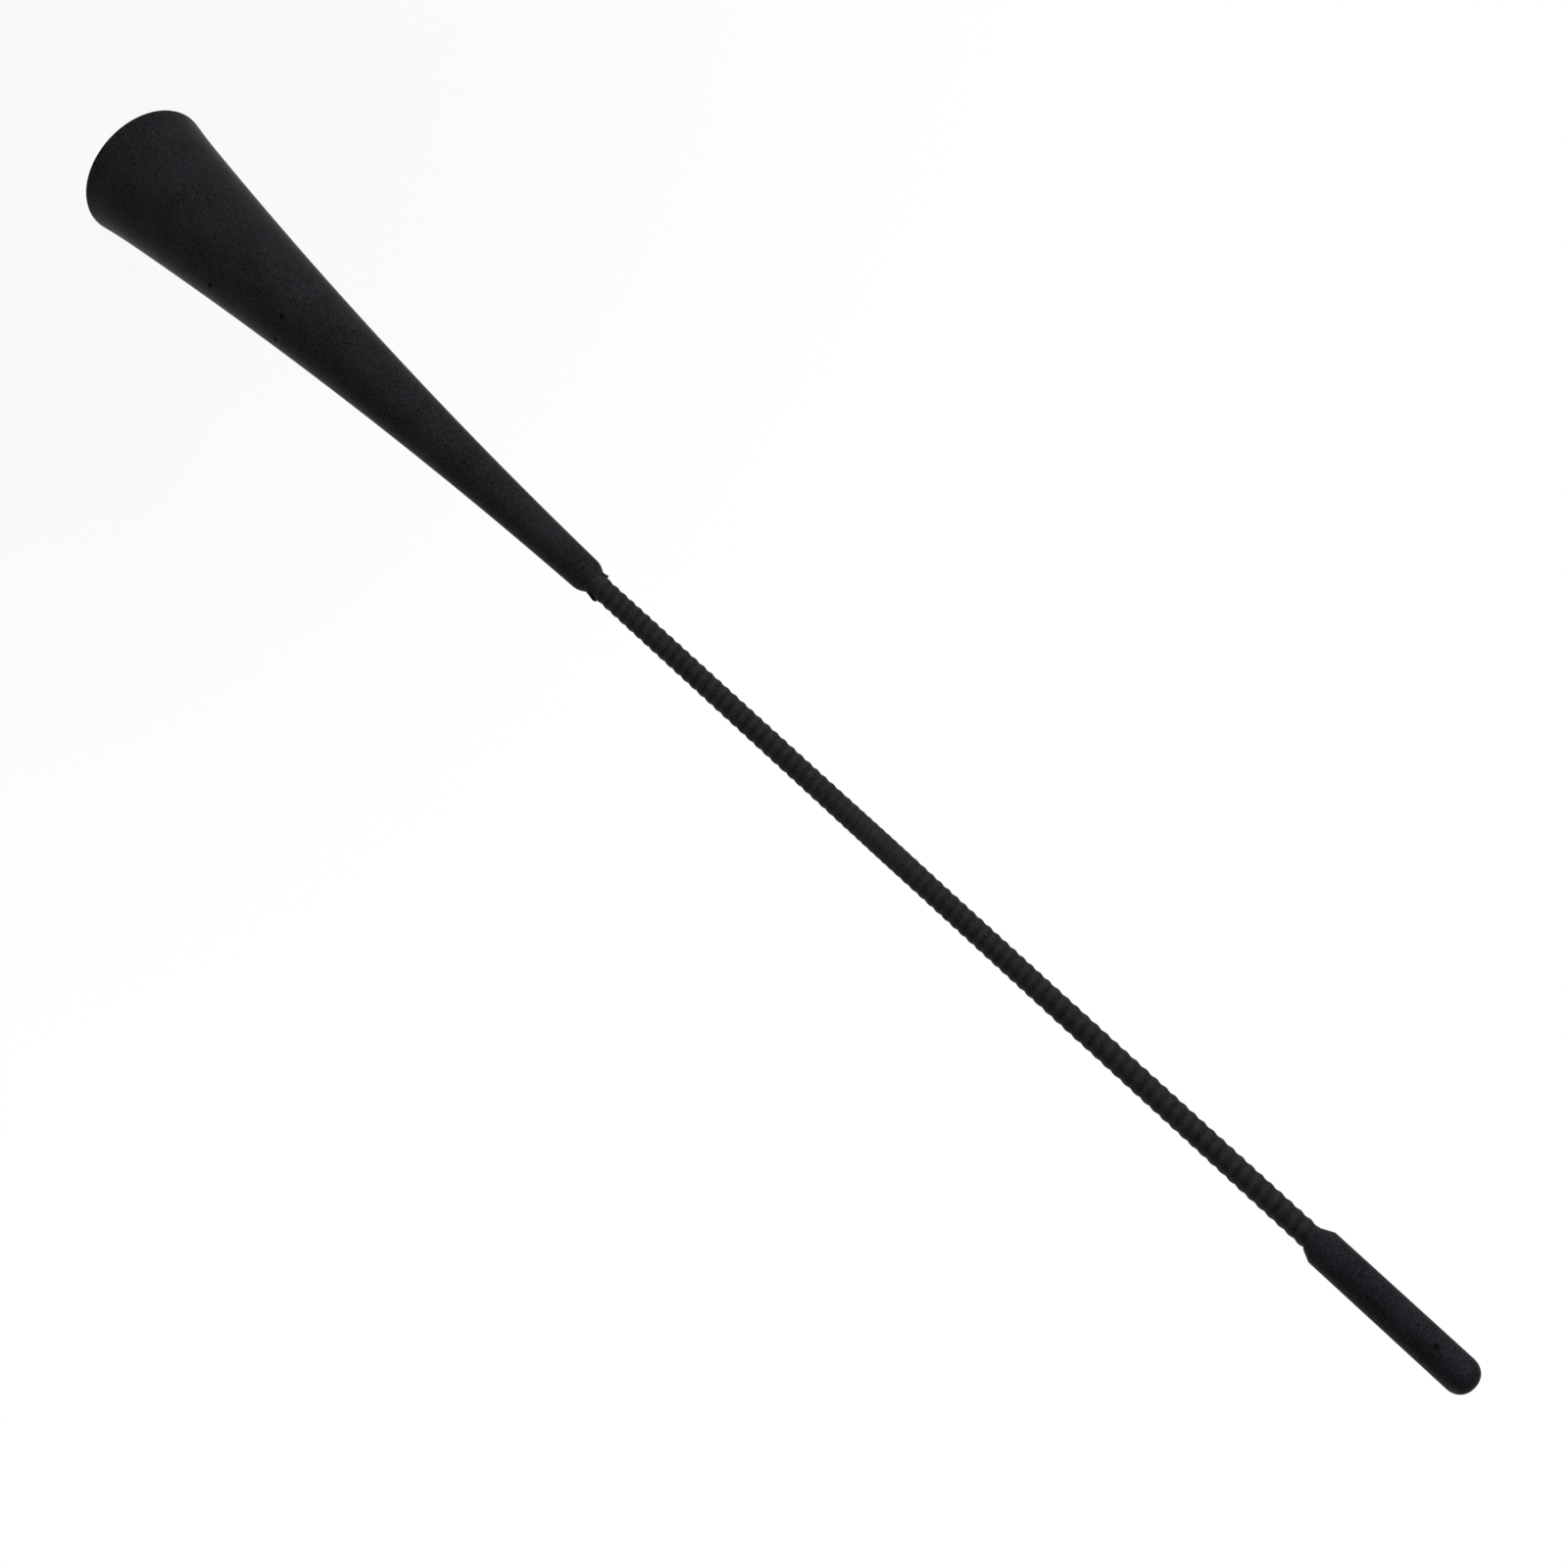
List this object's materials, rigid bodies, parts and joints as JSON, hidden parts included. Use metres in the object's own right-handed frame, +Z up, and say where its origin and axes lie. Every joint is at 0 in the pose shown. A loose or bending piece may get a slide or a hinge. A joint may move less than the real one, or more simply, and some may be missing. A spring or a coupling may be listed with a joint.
{
  "type": "car mast aerial",
  "caption": "Slim car roof aerial with a flared base cone over a threaded ferrule, a helically ribbed black sleeve round a wound core, and a plain rounded cap on the tip.",
  "frame": {"origin": "centre of the round seat, level with the rim that closes on the car's roof fitting", "axes": "+Z up the mast from the seat to the tip; the aerial is round, so X and Y are any two directions across it"},
  "size_m": [0.0306, 0.0306, 0.4],
  "materials": {
    "moulded_black": "satin black moulding, firm to the touch",
    "turned_brass": "turned, left bright",
    "glass_fibre": "drawn rod, slightly clear",
    "winding_wire": "enamelled copper wire",
    "sleeve_black": "shrunk sleeve, satin"
  },
  "bodies": {
    "root": {"base_cone": "moulded_black", "threaded_ferrule": "turned_brass", "core_rod": "glass_fibre", "antenna_winding": "winding_wire", "ribbed_sleeve": "sleeve_black", "tip_cap": "moulded_black"}
  },
  "joints": []
}
